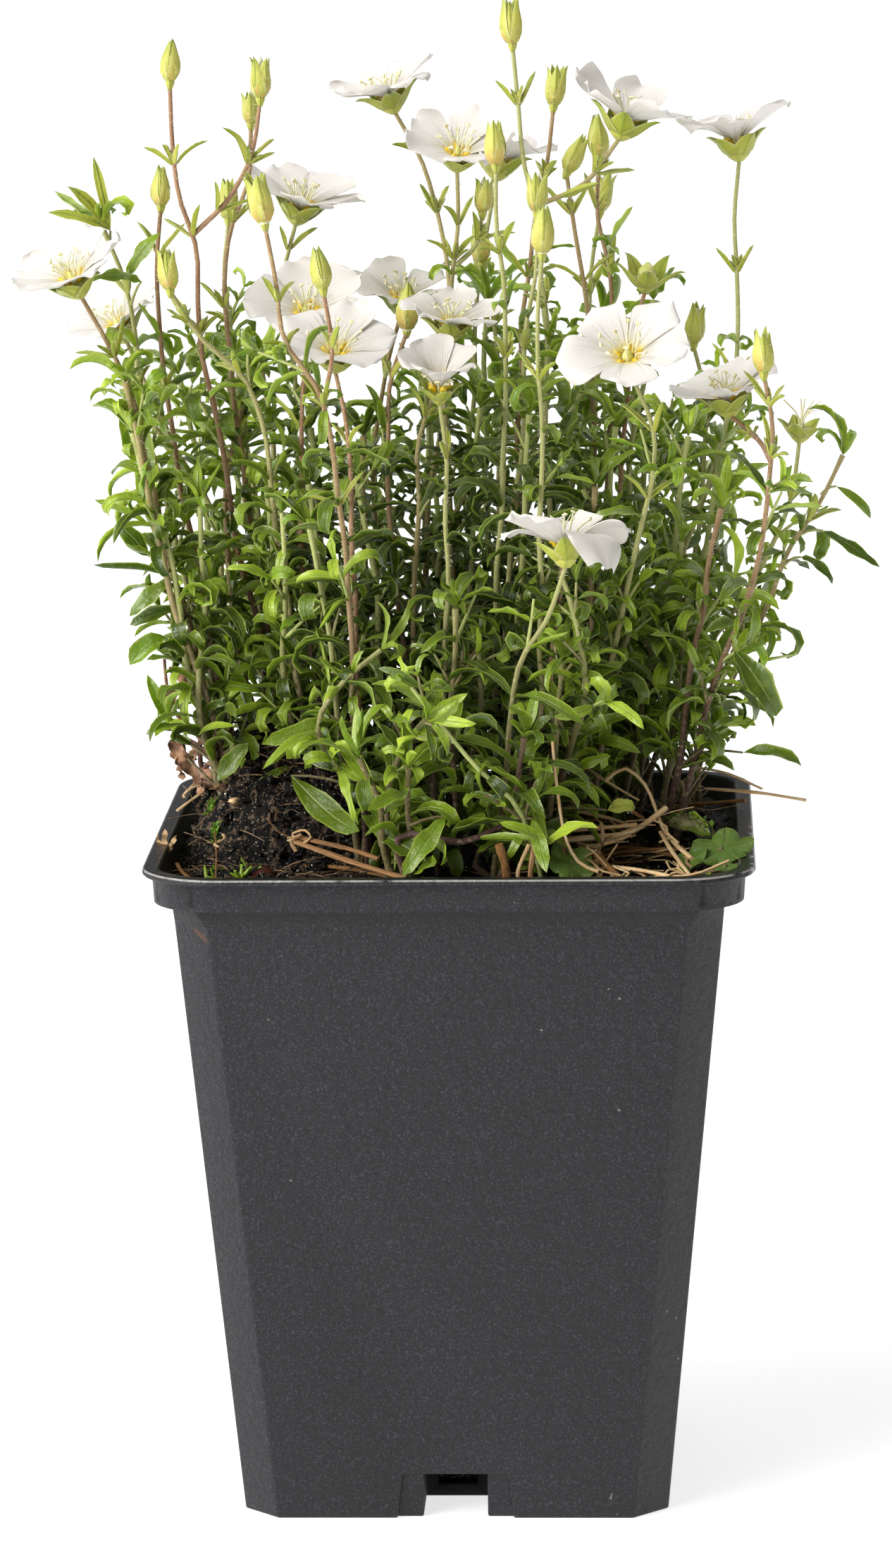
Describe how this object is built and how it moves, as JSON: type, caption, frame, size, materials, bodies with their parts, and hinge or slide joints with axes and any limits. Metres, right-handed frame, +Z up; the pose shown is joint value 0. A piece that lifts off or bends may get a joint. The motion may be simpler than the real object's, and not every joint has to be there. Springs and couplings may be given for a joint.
{
  "type": "potted mountain sandwort",
  "caption": "Mountain sandwort in flower: white five-petalled blooms, buds and narrow leaves on wiry stems, in a square nursery pot filled with dark soil.",
  "frame": {"origin": "middle of the pot's underside, on the ground", "axes": "+Z up; -Y is the side of the pot that faces the viewer, +X is the viewer's right"},
  "size_m": [0.133, 0.0982, 0.2231],
  "materials": {
    "pot_plastic": "satin",
    "soil": "matte",
    "foliage": "satin",
    "petals": "satin",
    "straw": "matte",
    "dead_leaf": "matte",
    "weed_leaf": "satin"
  },
  "bodies": {
    "root": {"pot": "pot_plastic", "soil": "soil", "leafy_clump_01": "foliage", "leafy_clump_02": "foliage", "leafy_clump_03": "foliage", "leafy_clump_04": "foliage", "leafy_clump_05": "foliage", "leafy_clump_06": "foliage", "leafy_clump_07": "foliage", "leafy_clump_08": "foliage", "leafy_clump_09": "foliage", "leafy_clump_10": "foliage", "leafy_clump_11": "foliage", "leafy_clump_12": "foliage", "leafy_clump_13": "foliage", "leafy_clump_14": "foliage", "leafy_clump_15": "foliage", "leafy_clump_16": "foliage", "leafy_clump_17": "foliage", "leafy_clump_18": "foliage", "leafy_clump_19": "foliage", "leafy_clump_20": "foliage", "leafy_clump_21": "foliage", "leafy_clump_22": "foliage", "leafy_clump_23": "foliage", "leafy_clump_24": "foliage", "leafy_clump_25": "foliage", "leafy_clump_26": "foliage", "leafy_clump_27": "foliage", "flower_01": "petals", "flower_02": "petals", "flower_03": "petals", "flower_04": "petals", "flower_05": "petals", "flower_06": "petals", "flower_07": "petals", "flower_08": "petals", "flower_09": "petals", "flower_10": "petals", "flower_11": "petals", "flower_12": "petals", "flower_13": "petals", "flower_14": "petals", "flower_15": "petals", "flower_16": "petals", "straw_bundle": "straw", "straw_left": "straw", "straw_over_rim": "straw", "straw_hanging": "straw", "dead_leaves": "dead_leaf", "weed_leaf": "weed_leaf"}
  },
  "joints": []
}
